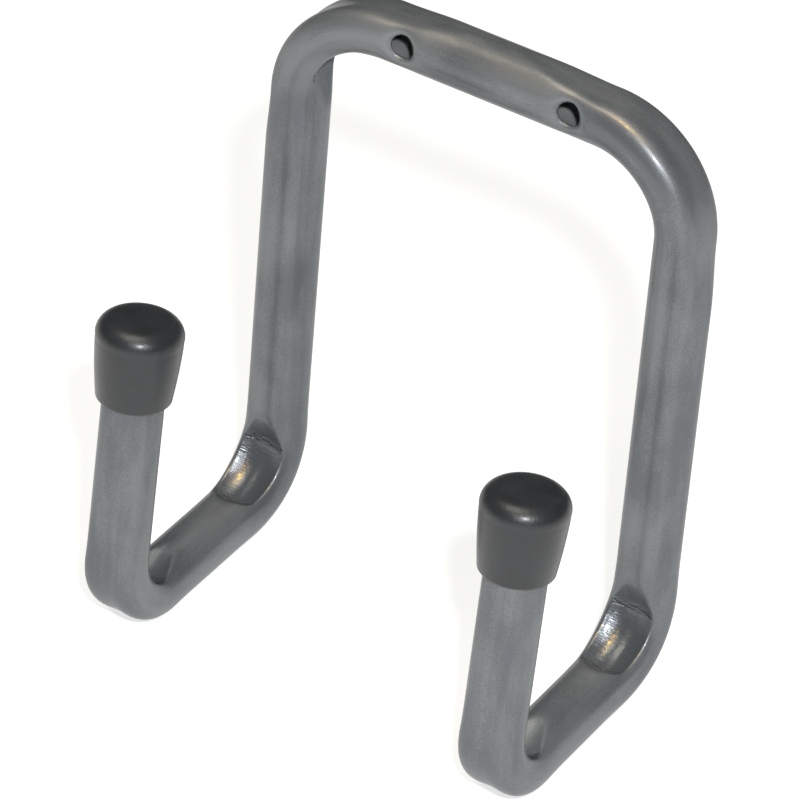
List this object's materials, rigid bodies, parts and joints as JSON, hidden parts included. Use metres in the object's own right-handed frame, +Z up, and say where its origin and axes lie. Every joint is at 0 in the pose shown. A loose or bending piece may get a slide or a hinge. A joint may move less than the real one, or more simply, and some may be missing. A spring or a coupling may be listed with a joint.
{
  "type": "utility hook",
  "caption": "Wall-mounted utility hook bent from round steel tube, with crushed bends, screw holes in the top bar and a soft cap on each upright.",
  "frame": {"origin": "on the wall plane, level with the top bar's centreline and midway between the two screw holes", "axes": "+Z up, +Y into the wall, so the hooks reach out along -Y; X runs along the top bar"},
  "size_m": [0.1378, 0.0843, 0.1665],
  "materials": {
    "painted_tube": "semi-gloss metallic grey paint",
    "soft_cap": "satin black"
  },
  "bodies": {
    "root": {"hook_tube": "painted_tube", "left_cap": "soft_cap", "right_cap": "soft_cap"}
  },
  "joints": []
}
